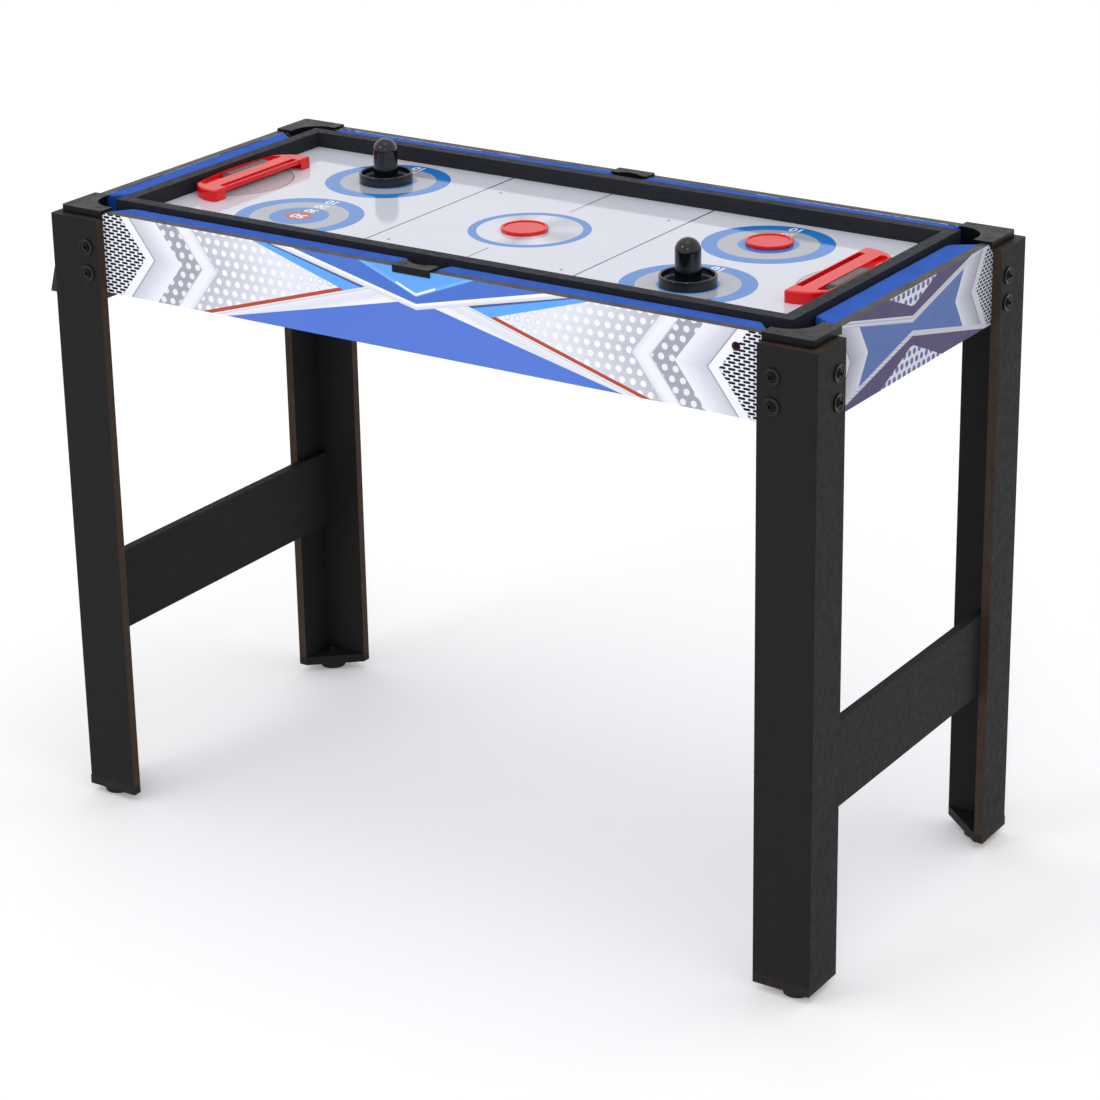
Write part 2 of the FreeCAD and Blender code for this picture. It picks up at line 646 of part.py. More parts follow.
def side_cap():
    low = LEG_TOP + 1.0
    block = box(-SIDE_CAP, SIDE_CAP, SIDE_CAP_Y, APRON_Y + SKIRT, low, CAP_TOP)
    uprights = [
        line for line in block.Edges
        if abs(line.BoundBox.YMin - APRON_Y - SKIRT) < 0.01 and line.BoundBox.ZLength > 1
    ]
    block = block.makeFillet(1.5, [line for line in uprights if line.BoundBox.XLength < 0.01])
    block = block.cut(box(-SIDE_CAP - 1, SIDE_CAP + 1, 0, APRON_Y, low - 1, CAP_TOP - CAP))
    ring = rod(SIDE_R + SKIRT, CAP_TOP - BED_TOP - 1, point(0, SIDE_Y, BED_TOP))
    wall = ring.common(box(-18, 18, SIDE_Y + 14, SIDE_Y + 40, BED_TOP, CAP_TOP))
    block = block.fuse(wall).cut(rod(SIDE_R, 60, point(0, SIDE_Y, BED_TOP - 10)))
    return block.cut(countersinks(cap_screw_places()[1])).removeSplitter()


def make_caps():
    corner = corner_cap()
    for name, signs in QUADRANTS.items():
        save("corner_cap_" + name, placed(corner, *signs))
    side = side_cap()
    save("side_cap_back", side)
    save("side_cap_front", placed(side, 1, -1))
    save("cap_screws", Part.makeCompound(cap_screws()))


# ---- hockey tray --------------------------------------------------------------------
def make_tray():
    inner_x = TRAY_X - TRAY_RAIL
    inner_y = TRAY_Y - TRAY_RAIL
    groove = 4.0
    sheet = 3.0
    slot = box(-inner_x - groove, inner_x + groove, -inner_y - groove, inner_y + groove,
               BOARD_TOP - sheet, BOARD_TOP)
    back = prism([(-TRAY_X, TRAY_Y), (TRAY_X, TRAY_Y), (inner_x, inner_y), (-inner_x, inner_y)],
                 BED_TOP, TRAY_TOP).cut(slot)
    right = prism([(TRAY_X, TRAY_Y), (TRAY_X, -TRAY_Y), (inner_x, -inner_y), (inner_x, inner_y)],
                  BED_TOP, TRAY_TOP).cut(slot)
    save("tray_rail_back", back)
    save("tray_rail_front", placed(back, 1, -1))
    save("tray_rail_right", right)
    save("tray_rail_left", placed(right, -1, 1))
    fit = groove - 0.2
    save("hockey_board", box(-inner_x - fit, inner_x + fit, -inner_y - fit, inner_y + fit,
                             BOARD_TOP - sheet, BOARD_TOP))
    battens = [
        box(x - 10, x + 10, -inner_y, inner_y, BED_TOP, BOARD_TOP - sheet) for x in (-300.0, 0.0, 300.0)
    ]
    save("tray_battens", Part.makeCompound(battens))


def goal_outline():
    """The right goal in plan: straight front, tapered ends, bowed back."""
    points = [
        (GOAL_FRONT, GOAL_HALF), (GOAL_FRONT + 12.0, GOAL_HALF - 0.5),
        (GOAL_BACK - 24.0, GOAL_HALF - 6.7), (GOAL_BACK - 8.5, GOAL_HALF - 20.5), (GOAL_BACK, 0.0),
    ]
    start, shoulder, turn, haunch, back = [point(x, y, BOARD_TOP) for x, y in points]
    mirror = [point(p.x, -p.y, BOARD_TOP) for p in (start, shoulder, turn, haunch)]
    return Part.Wire([
        edge(start, shoulder), bend(shoulder, turn, haunch), bend(haunch, back, mirror[3]),
        bend(mirror[3], mirror[2], mirror[1]), edge(mirror[1], mirror[0]), edge(mirror[0], start),
    ])


def both_ways(corners):
    """Close an outline given for y > 0 with its mirror image."""
    return corners + [(x, -y) for x, y in reversed(corners)]


def goal():
    """The right goal: a shell with a bar over its mouth, a slot behind it and a recess on top."""
    body = Part.Face(goal_outline()).extrude(Z * (GOAL_TOP - BOARD_TOP))
    corners = [
        line for line in body.Edges
        if line.BoundBox.ZLength > 1 and line.BoundBox.XMax < GOAL_FRONT + 0.1
        and line.BoundBox.YLength < 0.01
    ]
    body = body.makeFillet(4.0, corners)
    body = body.makeFillet(2.5, [line for line in body.Edges if line.BoundBox.ZMin > GOAL_TOP - 0.01])
    mouth = both_ways([
        (GOAL_FRONT - 1, MOUTH_HALF), (GOAL_FRONT + 9, MOUTH_HALF + 6.5),
        (GOAL_FRONT + 30, MOUTH_HALF + 6.5), (GOAL_BACK - 9, MOUTH_HALF - 16),
    ])
    slot_end = MOUTH_HALF - 2
    slot_start = BAR_FRONT + BAR
    recess = both_ways([
        (SCORE_FRONT, 78.0), (SCORE_FRONT + 5, 79.5), (SCORE_BACK - 2.5, 73.0), (SCORE_BACK, 60.0),
    ])
    body = body.cut(prism(mouth, BOARD_TOP, MOUTH_TOP))
    body = body.cut(box(GOAL_FRONT - 1, BAR_FRONT, -slot_end, slot_end, BOARD_TOP, GOAL_TOP + 1))
    body = body.cut(box(slot_start, slot_start + BAR_SLOT, -slot_end, slot_end, BOARD_TOP, GOAL_TOP + 1))
    body = body.cut(prism(recess, SCORE_FLOOR, GOAL_TOP + 1))
    return body.cut(box(SCORE_LINE - 1.2, SCORE_LINE + 1.2, -SCORE_GUIDE, SCORE_GUIDE,
                        MOUTH_TOP - 1, SCORE_FLOOR + 1))


def slider(offset):
    """The score slider of the right goal: a bar with sloping ends and a keel in the guide slot."""
    top = GOAL_TOP - 0.2
    slope = SLIDER_HALF - 8.0
    section = [
        (offset - SLIDER_HALF, SCORE_FLOOR), (offset + SLIDER_HALF, SCORE_FLOOR),
        (offset + SLIDER_HALF, SCORE_FLOOR + 1.4), (offset + slope, top),
        (offset - slope, top), (offset - SLIDER_HALF, SCORE_FLOOR + 1.4),
    ]
    bar = end_prism(section, SCORE_LINE - 6, SCORE_LINE + 6)
    upper = [line for line in bar.Edges if line.BoundBox.ZMin > top - 0.01]
    bar = bar.makeFillet(0.8, [line for line in upper if line.BoundBox.XLength < 0.01])
    keel = box(SCORE_LINE - 1.1, SCORE_LINE + 1.1, offset - 30, offset + 30,
               SCORE_FLOOR - 1.4, SCORE_FLOOR + 1)
    return bar.fuse(keel).cut(rod(0.9, 2.0, point(SCORE_LINE - 4.0, offset, top - 0.8)))


def make_goals():
    shell = goal()
    save("goal_right", shell)
    save("goal_left", placed(shell, -1, -1))
    bar = slider(-15.0)
    save("score_slider_right", bar)
    save("score_slider_left", placed(bar, -1, -1))


# ---- playing pieces -----------------------------------------------------------------
def puck(x, y):
    """A flat disc with a low rim on its top face."""
    disc = rod(PUCK_R, PUCK_H, point(x, y, BOARD_TOP))
    disc = disc.makeFillet(1.2, [line for line in disc.Edges if line.Length > PUCK_H + 1])
    return disc.cut(rod(PUCK_R - 3.6, 2.0, point(x, y, BOARD_TOP + PUCK_H - 1.1)))


def pusher(x, y):
    """A cup with a domed knob in the middle, turned about one axis and hollow below."""
    low = BOARD_TOP
    rim = low + PUSHER_RIM
    floor = low + 3.0
    dome = low + PUSHER_H - KNOB_R
    wall = 3.2
    outline = [
        (0, low), (PUSHER_R - 1, low), (PUSHER_R, low + 1), (PUSHER_R, rim - 1.2),
        (PUSHER_R - wall / 2, rim), (PUSHER_R - wall, rim - 1.2), (PUSHER_R - wall, floor + 2),
        (PUSHER_R - wall - 2, floor), (KNOB_R + 2.5, floor), (KNOB_R, floor + 2.5), (KNOB_R, dome),
    ]
    points = [point(radius, 0, z) for radius, z in outline]
    edges = [edge(a, b) for a, b in zip(points[:3], points[1:4])]
    crest = PUSHER_R - wall / 2
    edges.append(bend(points[3], point(crest, 0, rim), points[5]))
    edges += [edge(a, b) for a, b in zip(points[5:], points[6:])]
    slant = KNOB_R * math.sqrt(0.5)
    top = point(0, 0, low + PUSHER_H)
    edges.append(bend(points[-1], point(slant, 0, dome + slant), top))
    edges.append(edge(top, points[0]))
    solid = Part.Face(Part.Wire(edges)).revolve(ORIGIN, Z, 360)
    hollow = KNOB_R - 2.5
    core = rod(hollow, dome - low + 1, point(0, 0, low - 1))
    core = core.fuse(Part.makeSphere(hollow, point(0, 0, dome)))
    solid = solid.cut(core)
    solid.translate(point(x, y))
    return solid


def make_pieces():
    for name, place in PUCKS.items():
        save(name, puck(*place))
    for name, place in PUSHERS.items():
        save(name, pusher(*place))


make_legs()
make_stretchers()
make_leg_bolts()
make_aprons()
make_bed()
make_ball_return()
make_cushions()
make_caps()
make_tray()
make_goals()
make_pieces()
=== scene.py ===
import bmesh
import bpy
import math
from mathutils import Matrix, Vector


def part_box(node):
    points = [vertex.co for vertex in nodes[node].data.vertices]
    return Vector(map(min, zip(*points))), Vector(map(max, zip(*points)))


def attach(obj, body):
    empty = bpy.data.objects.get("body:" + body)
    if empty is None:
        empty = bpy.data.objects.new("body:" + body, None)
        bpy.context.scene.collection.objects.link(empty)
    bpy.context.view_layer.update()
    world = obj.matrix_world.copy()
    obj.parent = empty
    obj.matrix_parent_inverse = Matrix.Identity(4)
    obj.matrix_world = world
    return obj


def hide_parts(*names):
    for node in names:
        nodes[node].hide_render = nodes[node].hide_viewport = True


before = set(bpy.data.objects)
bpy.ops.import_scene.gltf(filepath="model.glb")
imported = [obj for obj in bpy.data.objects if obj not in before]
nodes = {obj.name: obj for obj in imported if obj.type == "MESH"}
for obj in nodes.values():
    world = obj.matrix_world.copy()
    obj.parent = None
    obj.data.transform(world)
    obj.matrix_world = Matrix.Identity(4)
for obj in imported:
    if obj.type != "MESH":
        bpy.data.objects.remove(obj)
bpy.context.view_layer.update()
MM = 0.001
QUADRANTS = ("front_left", "front_right", "back_left", "back_right")

# The prints and the board's layout are in mm. A line on a print is its height over the floor
# at the print's middle, and its climb for each mm outwards. A span is where a band starts and ends.
APRON_TOP_BAND_Z = 800.0

# the long aprons' print, from its middle to both ends
LONG_MIDDLE_X = 5.5
LONG_MIDDLE_Z = 755.0
LONG_CHEVRON_LEAN = 0.76
DOT_PITCH = (14.1, 12.3)
DOT_SHIFT = 4.7
DOT_RADIUS = 4.0
DOT_RIM_INSET = 0.4
DOT_RIM_HALF = 0.5
FIELD_SPAN = (100.0, 300.0)
RING_FADE_SPAN = (190.0, 120.0)
SLIM_CHEVRON = (295.0, 321.5)
WIDE_CHEVRON = (353.0, 396.0)
LONG_MESH_START = 409.5
DASH_PITCH = (12.7, 3.95)
DASH_SHIFT = 6.35
DASH_RADIUS = 1.45
DASH_HALF = 3.25
RED_LEAN = 0.3
RED_SPAN = (794.5, 799.2)
WHITE_SPAN = (776.0, 794.5)
SKY_FOOT = (731.3, 0.305)
SKY_SHADE_FOOT = (751.6, 0.2405)
ROYAL_TOP = (767.7, -0.2305)
CROSS_BAND_FOOT = (755.5, 0.23)
CROSS_BAND_TOP = (763.0, 0.231)
PALE_LINE_FOOT = (771.6, 0.398)
TIP_FOOT = (773.0, 0.398)
PALE_LINE_TOP = (775.4, 0.398)
TIP_TOP = (775.8, 0.398)
TIP_HALF = 28.0

# the short aprons' print
SHORT_MIDDLE_Y = -12.0
SHORT_MIDDLE_Z = 757.0
SHORT_CHEVRON_LEAN = 0.61
HOLE_PITCH = (12.2, 10.6)
HOLE_SHIFT = 6.1
HOLE_RADIUS = 3.9
UPPER_PATCH_FOOT = (781.0, 0.4)
LOWER_PATCH_TOP = (735.0, -0.43)
SILVER_CHEVRON = (108.0, 150.0)
SHORT_MESH_START = 163.0
WEAVE_PITCH = (8.6, 4.4)
WEAVE_SHIFT = 4.3
WEAVE_RADIUS = 1.45
WEAVE_HALF = 1.9
HIGH_BAND_FOOT = (762.0, 0.235)
HIGH_BAND_TOP = (770.0, 0.23)
LOW_BAND_TOP = (752.0, -0.235)
LOW_BAND_FOOT = (745.5, -0.23)
BAND_STRIPE = 3.6

# the hockey board; a figure is its distance past its target's middle, and its size
TARGET_X = 283.0
TARGET_Y = 94.0
TARGET_RADII = (18.1, 37.5, 61.8, 81.4)
CREASE_X = 466.0
# the first radius bounds a grey disc that is a painted reflection of the goal's bar; the second bounds the
# thin printed crease line
CREASE_REFLECTION_AND_LINE_RADII = (80.2, 81.8)
# the distance from a middle that the ramp of its rings covers
RING_REACH = 100.0
CENTRE_DISC_RADIUS = 65.7
CENTRE_RING_RADIUS = 76.3
CROSS_LINE_X = 151.0
CROSS_LINE_HALF = 1.3
CENTRE_LINE_HALF = 1.1
CENTRE_LINE_Y = 89.0
SPOT_X = 125.5
SPOT_Y = 121.0
SPOT_RADIUS = 2.3
FIGURES = {"10": (70.0, 19.5), "20": (47.0, 19.0), "30": (25.5, 18.5), "50": (-1.0, 21.5)}
FIGURE_RISE = 0.06
FIGURE_BOLDNESS = 0.6

# the score sliders' grips start on a slope
SLIDER_LEAN = 15.0
SLIDER_GRIP = 37.5

# A cushion's outline: share of its depth from the wall, and share of its height. The ends lean
# back towards the pockets by the jaws, and are pinched in a little.
CUSHION_OUTLINE = [
    (0.0, 0.0), (0.3, 0.0), (0.62, 0.0), (0.72, 0.12), (0.83, 0.36), (0.93, 0.6), (0.985, 0.72),
    (1.0, 0.79), (0.992, 0.85), (0.96, 0.905), (0.9, 0.95), (0.8, 0.985), (0.66, 1.0),
    (0.33, 1.0), (0.0, 1.0),
]
CUSHION_STATIONS = [0.0, 0.008, 0.03, 0.1, 0.3, 0.5, 0.7, 0.9, 0.97, 0.992, 1.0]
CORNER_JAW = 24.0 * MM
SIDE_JAW = 10.0 * MM
CUSHION_PINCH = 1.2 * MM

# The camera is the closest ordinary one to the photograph's straightened perspective.
CAMERA_PLACE = (2.1106, -3.1277, 1.8862)
CAMERA_AZIMUTH = math.radians(32.56)
CAMERA_TILT = math.radians(69.84)
CAMERA_ROLL = math.radians(-0.58)
CAMERA_LENS = 104.62
CAMERA_SHIFT = (-0.0545, -0.0909)
FLOOR_HALF = 40.0
FLOOR_DROP = 0.4 * MM


def srgb(red, green, blue):
    """A display colour out of 255 as the linear colour that shaders use."""
    def linear(value):
        value /= 255.0
        return value / 12.92 if value <= 0.04045 else ((value + 0.055) / 1.055) ** 2.4
    return linear(red), linear(green), linear(blue), 1.0


def cool(level):
    """A cool near-white or pale grey of the printed film."""
    return srgb(level, level + 2, min(255, level + 14))


# ---- shader graphs ------------------------------------------------------------------
class Paint:
    """A material with one Principled shader, and short ways to build the nodes that feed it."""

    def __init__(self, name, color, roughness, **sockets):
        self.material = bpy.data.materials.new(name)
        self.material.use_nodes = True
        self.tree = self.material.node_tree
        self.shader = self.tree.nodes["Principled BSDF"]
        self.shader.inputs["Base Color"].default_value = color
        self.shader.inputs["Roughness"].default_value = roughness
        for socket, value in sockets.items():
            self.shader.inputs[socket.replace("_", " ")].default_value = value
        self.position = self.add("ShaderNodeTexCoord").outputs["Object"]
        parts = self.add("ShaderNodeSeparateXYZ", self.position).outputs
        # places on the object, in mm
        self.x, self.y, self.z = (self.math("MULTIPLY", part, 1.0 / MM) for part in parts)
        self.coat = color
        self.material.diffuse_color = color

    def add(self, kind, *values, **settings):
        node = self.tree.nodes.new(kind)
        for key, value in settings.items():
            setattr(node, key, value)
        for socket, value in zip(node.inputs, values):
            self.feed(socket, value)
        return node

    def feed(self, socket, value):
        if isinstance(value, bpy.types.NodeSocket):
            self.tree.links.new(value, socket)
        elif value is not None:
            socket.default_value = value

    def math(self, operation, *values):
        return self.add("ShaderNodeMath", *values, operation=operation).outputs[0]

    def mix(self, factor, low, high):
        node = self.add("ShaderNodeMix", data_type="RGBA")
        self.feed(node.inputs["Factor"], factor)
        self.feed(node.inputs["A"], low)
        self.feed(node.inputs["B"], high)
        return node.outputs["Result"]

    def ramp(self, factor, stops, interpolation="LINEAR"):
        node = self.add("ShaderNodeValToRGB", factor)
        node.color_ramp.interpolation = interpolation
        elements = node.color_ramp.elements
        while len(elements) < len(stops):
            elements.new(0.5)
        for element, (place, color) in zip(elements, stops):
            element.position = place
            element.color = color
        return node.outputs["Color"]

    def spread(self, value, low, high):
        """value's range from low to high, as 0 to 1."""
        return self.add("ShaderNodeMapRange", value, low, high, 0.0, 1.0).outputs[0]

    def shaded(self, value, span, stops):
        """Colours along value, from one end of span to the other."""
        return self.ramp(self.spread(value, *span), stops)

    def size(self, value):
        return self.math("ABSOLUTE", value)

    def less(self, value, other):
        return self.math("SUBTRACT", value, other)

    def over(self, value, limit):
        return self.math("GREATER_THAN", value, limit)

    def under(self, value, limit):
        return self.math("LESS_THAN", value, limit)

    def both(self, first, second):
        return self.math("MULTIPLY", first, second)

    def outside(self, mask):
        return self.math("SUBTRACT", 1.0, mask)

    def between(self, value, span):
        return self.both(self.over(value, span[0]), self.under(value, span[1]))

    def noise(self, scale, detail, stretch=None):
        place = self.position
        if stretch:
            place = self.add("ShaderNodeVectorMath", place, stretch, operation="MULTIPLY").outputs[0]
        node = self.add("ShaderNodeTexNoise")
        self.feed(node.inputs["Vector"], place)
        node.inputs["Scale"].default_value = scale
        node.inputs["Detail"].default_value = detail
        return node.outputs["Fac"]

    def above(self, height, out, line):
        """1 where height is over the line that starts at line[0] and climbs by line[1] along out."""
        return self.over(self.math("MULTIPLY_ADD", out, -line[1], height), line[0])

    def distance(self, a, b):
        return self.math("SQRT", self.math("MULTIPLY_ADD", a, a, self.math("MULTIPLY", b, b)))

    def facing(self, axis):
        """1 on faces square to the given axis, 0 elsewhere."""
        normal = self.add("ShaderNodeNewGeometry").outputs["True Normal"]
        part = self.add("ShaderNodeSeparateXYZ", normal).outputs["XYZ".index(axis)]
        return self.over(self.size(part), 0.9)

    def color(self, value):
        self.feed(self.shader.inputs["Base Color"], value)

    def lay(self, mask, color):
        """Another colour over the coat so far, where mask is 1."""
        self.coat = self.mix(mask, self.coat, color)

    def rings(self, distance, radii, tones):
        """Flat rings over the coat, each tone out to its own radius."""
        starts = (0.0,) + radii[:-1]
        fill = self.ramp(self.spread(distance, 0.0, RING_REACH),
                         [(start / RING_REACH, tone) for start, tone in zip(starts, tones)],
                         "CONSTANT")
        self.lay(self.under(distance, radii[-1]), fill)

    def rough(self, low, high, scale):
        noise = self.spread(self.noise(scale, 4.0), 0.35, 0.65)
        node = self.add("ShaderNodeMapRange", noise, 0.0, 1.0, low, high)
        self.feed(self.shader.inputs["Roughness"], node.outputs[0])

    def bump(self, height, distance, strength):
        node = self.add("ShaderNodeBump")
        node.inputs["Strength"].default_value = strength
        node.inputs["Distance"].default_value = distance
        self.feed(node.inputs["Height"], height)
        self.feed(self.shader.inputs["Normal"], node.outputs[0])


def wear(paint, shade, lighter, scale, amount):
    """A faint mottling between two tones."""
    noise = paint.spread(paint.noise(scale, 5.0), 0.35, 0.7)
    paint.color(paint.mix(paint.math("MULTIPLY", noise, amount), shade, lighter))


def raw_fibre(paint, tone=srgb(88, 66, 54)):
    """Sawn fibreboard: brown with fine pale and dark specks."""
    specks = paint.spread(paint.noise(1500.0, 2.0), 0.35, 0.7)
    patches = paint.spread(paint.noise(90.0, 4.0), 0.3, 0.7)
    dark = tuple(part * 0.55 for part in tone[:3]) + (1.0,)
    pale = tuple(min(1.0, part * 1.5) for part in tone[:3]) + (1.0,)
    return paint.mix(specks, paint.mix(patches, dark, tone), pale)


# ---- materials ----------------------------------------------------------------------
def black_film(name, cut_axes, edge_tone=srgb(60, 48, 40)):
    """A board in black film, with raw fibre on the cut edges that face along cut_axes."""
    paint = Paint(name, srgb(36, 36, 36), 0.48, Specular_IOR_Level=0.05)
    grain = paint.spread(paint.noise(26.0, 6.0, (14.0, 14.0, 1.0)), 0.3, 0.7)
    film = paint.mix(paint.math("MULTIPLY", grain, 0.4), srgb(33, 33, 34), srgb(40, 39, 38))
    cut = paint.facing(cut_axes[0])
    for axis in cut_axes[1:]:
        cut = paint.math("MAXIMUM", cut, paint.facing(axis))
    paint.color(paint.mix(cut, film, raw_fibre(paint, edge_tone)))
    paint.rough(0.42, 0.56, 120.0)
    paint.bump(paint.noise(900.0, 3.0, (1.0, 1.0, 0.4)), 0.0002, 0.25)
    return paint.material


def fibreboard():
    """Bare sawn board."""
    paint = Paint("raw_fibreboard", srgb(96, 74, 60), 0.8)
    paint.color(raw_fibre(paint))
    paint.bump(paint.noise(1200.0, 3.0), 0.0003, 0.4)
    return paint.material


def dots(paint, along, across, pitch, shift, radius, half=0.0):
    """Distance past the rim of the nearest dot of a lattice whose rows step sideways by shift.
    Below 0 is inside a dot. half stretches the dots into dashes to both sides."""
    row = paint.math("FLOOR", paint.math("DIVIDE", across, pitch[1]))
    step = paint.math("MULTIPLY", paint.math("MODULO", paint.size(row), 2.0), shift)
    cell = paint.math("FRACT", paint.math("DIVIDE", paint.math("ADD", along, step), pitch[0]))
    away = paint.math("MULTIPLY_ADD", paint.size(paint.less(cell, 0.5)), pitch[0], -half)
    away = paint.math("MAXIMUM", away, 0.0)
    rise = paint.less(paint.math("FRACT", paint.math("DIVIDE", across, pitch[1])), 0.5)
    rise = paint.math("MULTIPLY", rise, pitch[1])
    return paint.less(paint.distance(away, rise), radius)


def finish_apron(paint, axis):
    """The coat on the faces along axis, a dark grey band on the top edge, sawn board elsewhere."""
    band = paint.mix(paint.noise(300.0, 4.0), srgb(32, 32, 34), srgb(50, 49, 50))
    edge = paint.mix(paint.over(paint.z, APRON_TOP_BAND_Z), raw_fibre(paint, srgb(120, 78, 56)), band)
    paint.color(paint.mix(paint.facing(axis), edge, paint.coat))
    paint.rough(0.26, 0.38, 40.0)
    paint.bump(paint.noise(700.0, 2.0), 0.0001, 0.12)
    return paint.material


def long_print():
    """The print of the long aprons: chevrons and dots at the ends, crossing bands between."""
    paint = Paint("long_apron_print", srgb(84, 120, 211), 0.3, Specular_IOR_Level=0.15)
    out = paint.size(paint.less(paint.x, LONG_MIDDLE_X))
    level = paint.size(paint.less(paint.z, LONG_MIDDLE_Z))
    chevron = paint.math("MULTIPLY_ADD", level, -LONG_CHEVRON_LEAN, out)
    low = paint.math("MULTIPLY_ADD", out, RED_LEAN, paint.z)

    def above(line):
        return paint.above(paint.z, out, line)

    dot = dots(paint, paint.x, paint.z, DOT_PITCH, DOT_SHIFT, DOT_RADIUS)
    inside = paint.under(dot, 0.0)
    rim = paint.under(paint.size(paint.math("ADD", dot, DOT_RIM_INSET)), DOT_RIM_HALF)
    field = paint.shaded(chevron, FIELD_SPAN, [(0.0, cool(234)), (0.45, cool(224)), (1.0, cool(186))])
    ring = paint.both(rim, paint.spread(chevron, *RING_FADE_SPAN))
    paint.coat = paint.mix(inside, field, paint.mix(ring, cool(239), srgb(176, 180, 192)))

    paint.lay(paint.over(chevron, SLIM_CHEVRON[0]), paint.shaded(chevron, SLIM_CHEVRON, [
        (0.0, cool(174)), (0.1, cool(222)), (0.45, cool(238)), (0.88, cool(234)), (1.0, cool(188))]))
    paint.lay(paint.over(chevron, SLIM_CHEVRON[1]), paint.mix(inside, cool(162), cool(230)))
    paint.lay(paint.over(chevron, WIDE_CHEVRON[0]), paint.shaded(chevron, WIDE_CHEVRON, [
        (0.0, cool(236)), (0.3, cool(226)), (0.62, cool(212)),
        (0.93, cool(200)), (0.97, cool(156)), (1.0, cool(148))]))
    paint.lay(paint.over(chevron, WIDE_CHEVRON[1]), cool(239))
    dash = dots(paint, paint.x, paint.z, DASH_PITCH, DASH_SHIFT, DASH_RADIUS, DASH_HALF)
    mesh = paint.mix(paint.under(dash, 0.0), cool(232), srgb(14, 14, 17))
    paint.lay(paint.over(chevron, LONG_MESH_START), mesh)

    paint.lay(paint.between(low, RED_SPAN), srgb(181, 76, 48))
    sky = paint.both(above(SKY_FOOT), paint.over(low, RED_SPAN[0]))
    paint.lay(sky, srgb(96, 167, 244))
    paint.lay(paint.both(sky, above(SKY_SHADE_FOOT)), srgb(70, 92, 150))
    paint.lay(paint.under(low, RED_SPAN[0]), paint.shaded(low, WHITE_SPAN, [
        (0.0, cool(236)), (0.35, cool(220)), (0.8, cool(230)),
        (0.88, cool(194)), (0.92, cool(234)), (1.0, cool(224))]))
    royal = paint.mix(paint.noise(7.0, 1.0), srgb(80, 117, 213), srgb(90, 123, 209))
    paint.lay(paint.outside(above(ROYAL_TOP)), royal)

    foot, climb = CROSS_BAND_FOOT
    height = paint.math("MULTIPLY_ADD", out, -climb, paint.z)
    paint.lay(above(CROSS_BAND_FOOT), paint.shaded(height, (foot, CROSS_BAND_TOP[0]), [
        (0.0, cool(204)), (0.42, cool(230)), (0.46, cool(202)), (0.55, cool(240)), (1.0, cool(246))]))
    paint.lay(above(CROSS_BAND_TOP), srgb(77, 115, 204))
    paint.lay(above(PALE_LINE_FOOT), srgb(116, 180, 250))
    paint.lay(above(PALE_LINE_TOP), srgb(100, 166, 247))
    corner = paint.both(above(TIP_FOOT), paint.under(out, TIP_HALF))
    paint.lay(paint.both(corner, paint.outside(above(TIP_TOP))), cool(242))
    return finish_apron(paint, "Y")


def short_print():
    """The print of the short aprons: two silver bands that nearly meet, with blue between."""
    paint = Paint("short_apron_print", srgb(66, 56, 97), 0.3, Specular_IOR_Level=0.15)
    out = paint.size(paint.less(paint.y, SHORT_MIDDLE_Y))
    level = paint.size(paint.less(paint.z, SHORT_MIDDLE_Z))
    chevron = paint.math("MULTIPLY_ADD", level, -SHORT_CHEVRON_LEAN, out)

    def above(line):
        return paint.above(paint.z, out, line)

    def beneath(line):
        return paint.outside(above(line))

    hole = dots(paint, paint.y, paint.z, HOLE_PITCH, HOLE_SHIFT, HOLE_RADIUS)
    patch = paint.mix(paint.under(hole, 0.0), cool(198), srgb(84, 90, 140))
    paint.coat = paint.mix(paint.noise(30.0, 2.0), srgb(61, 52, 93), srgb(71, 60, 101))
    paint.lay(above(UPPER_PATCH_FOOT), patch)
    paint.lay(beneath(LOWER_PATCH_TOP), patch)

    silver = paint.shaded(chevron, SILVER_CHEVRON, [
        (0.0, cool(198)), (0.25, cool(184)), (0.6, cool(166)), (0.94, cool(148)), (1.0, cool(98))])
    inner = paint.mix(paint.over(chevron, SILVER_CHEVRON[0]), srgb(71, 98, 158), silver)
    inner = paint.mix(paint.over(chevron, SILVER_CHEVRON[1]), inner, cool(184))
    dash = dots(paint, paint.y, paint.z, WEAVE_PITCH, WEAVE_SHIFT, WEAVE_RADIUS, WEAVE_HALF)
    weave = paint.mix(paint.under(dash, 0.0), cool(188), srgb(30, 30, 34))
    inner = paint.mix(paint.over(chevron, SHORT_MESH_START), inner, weave)
    paint.lay(paint.both(above(LOW_BAND_TOP), beneath(HIGH_BAND_FOOT)), inner)

    stripe = paint.math("MULTIPLY_ADD", out, -HIGH_BAND_TOP[1], paint.z)
    stripe = paint.math("PINGPONG", stripe, BAND_STRIPE)
    metal = paint.shaded(stripe, (0.0, BAND_STRIPE), [
        (0.0, cool(164)), (0.5, cool(200)), (1.0, cool(150))])
    high_band = paint.both(above(HIGH_BAND_FOOT), beneath(HIGH_BAND_TOP))
    low_band = paint.both(beneath(LOW_BAND_TOP), above(LOW_BAND_FOOT))
    paint.lay(paint.math("MAXIMUM", high_band, low_band), metal)
    return finish_apron(paint, "X")


